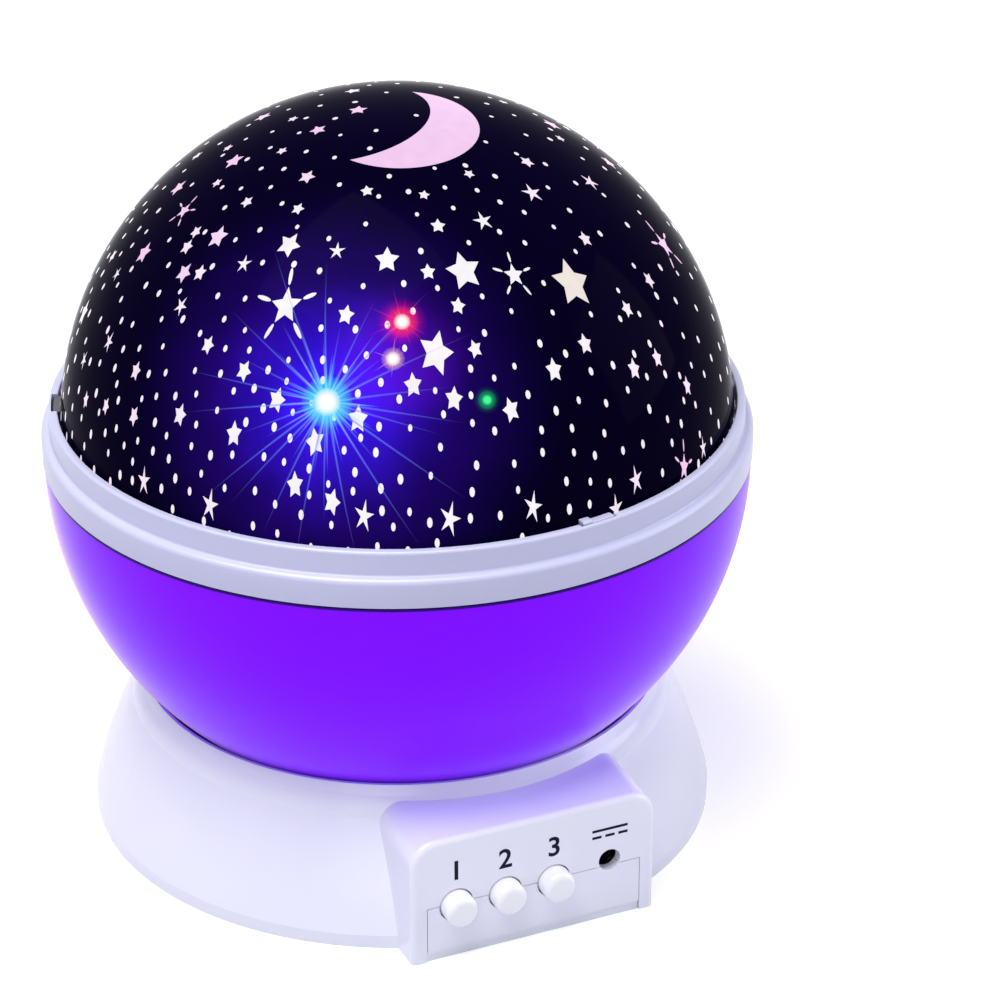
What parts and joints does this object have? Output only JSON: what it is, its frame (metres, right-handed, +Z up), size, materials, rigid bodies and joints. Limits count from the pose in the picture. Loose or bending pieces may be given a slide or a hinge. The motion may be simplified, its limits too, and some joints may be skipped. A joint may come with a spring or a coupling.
{
  "type": "star night light projector",
  "caption": "Ball-shaped night light: a printed dome over coloured lamps, on a bowl and ring that turn in a round base with a control panel.",
  "frame": {"origin": "on the turning axis, at the underside of the base", "axes": "+Z up along the turning axis, the control panel faces -Y, +X to its right"},
  "size_m": [0.1328, 0.1328, 0.1417],
  "materials": {
    "dome": "glossy dark translucent, printed",
    "ring": "glossy white",
    "bowl": "satin-gloss violet, lit from inside",
    "white_plastic": "white",
    "base": "cool white, soft gloss",
    "button": "white, glossy",
    "gear_plastic": "natural acetal",
    "steel": "bright zinc-plated",
    "spring_steel": "nickel-plated strip",
    "brass": "bright",
    "black_plastic": "black",
    "circuit_board": "green solder mask",
    "cell": "plain metal can",
    "cable": "light grey ribbon",
    "led_blue": "clear tinted",
    "led_red": "clear tinted",
    "led_green": "clear tinted",
    "led_white": "water clear"
  },
  "bodies": {
    "base": {"thrust_washer": "gear_plastic", "retaining_ring": "steel", "led_post": "white_plastic", "led_holder": "white_plastic", "led_board": "circuit_board", "led_blue": "led_blue", "led_red": "led_red", "led_green": "led_green", "led_white": "led_white", "base_housing": "base", "base_plate": "base", "battery_door": "base", "motor_gearbox": "gear_plastic", "drive_motor": "steel", "control_board": "circuit_board", "battery_contacts": "spring_steel", "dc_jack": "black_plastic", "jack_pin": "brass", "lamp_ribbon": "cable", "aaa_cell_1": "cell", "aaa_cell_2": "cell", "aaa_cell_3": "cell", "aaa_cell_4": "cell", "button_switch_1": "black_plastic", "button_switch_2": "black_plastic", "button_switch_3": "black_plastic", "plate_screws": "steel", "door_screw": "steel", "post_screws": "steel", "led_board_screws": "steel", "control_board_screws": "steel", "motor_screws": "steel"},
    "sphere": {"bowl": "bowl", "collar_ring": "ring", "reflector_deck": "white_plastic", "spin_gear": "gear_plastic", "gear_screws": "steel"},
    "pinion": {"drive_pinion": "gear_plastic", "output_shaft": "steel"},
    "dome": {"dome": "dome"},
    "button_1": {"button_1": "button", "switch_plunger_1": "black_plastic"},
    "button_2": {"button_2": "button", "switch_plunger_2": "black_plastic"},
    "button_3": {"button_3": "button", "switch_plunger_3": "black_plastic"}
  },
  "joints": [
    {"name": "sphere_spin", "type": "hinge", "parent": "base", "child": "sphere", "pos_m": [0, 0, 0.02], "axis": [0, 0, 1], "continuous": true},
    {"name": "pinion_spin", "type": "hinge", "parent": "base", "child": "pinion", "pos_m": [0, 0.03, 0.02], "axis": [0, 0, 1], "continuous": true},
    {"name": "dome_lift", "type": "slide", "parent": "sphere", "child": "dome", "axis": [0, 0, 1], "range_m": [0, 0.06]},
    {"name": "button_1_push", "type": "slide", "parent": "base", "child": "button_1", "axis": [0, 1, 0], "range_m": [0, 0.001], "stiffness_N_per_m": 400, "springref_m": -0.0005},
    {"name": "button_2_push", "type": "slide", "parent": "base", "child": "button_2", "axis": [0, 1, 0], "range_m": [0, 0.001], "stiffness_N_per_m": 400, "springref_m": -0.0005},
    {"name": "button_3_push", "type": "slide", "parent": "base", "child": "button_3", "axis": [0, 1, 0], "range_m": [0, 0.001], "stiffness_N_per_m": 400, "springref_m": -0.0005}
  ],
  "couplings": [
    {"joint": "pinion_spin", "follows": "sphere_spin", "ratio": -4}
  ]
}
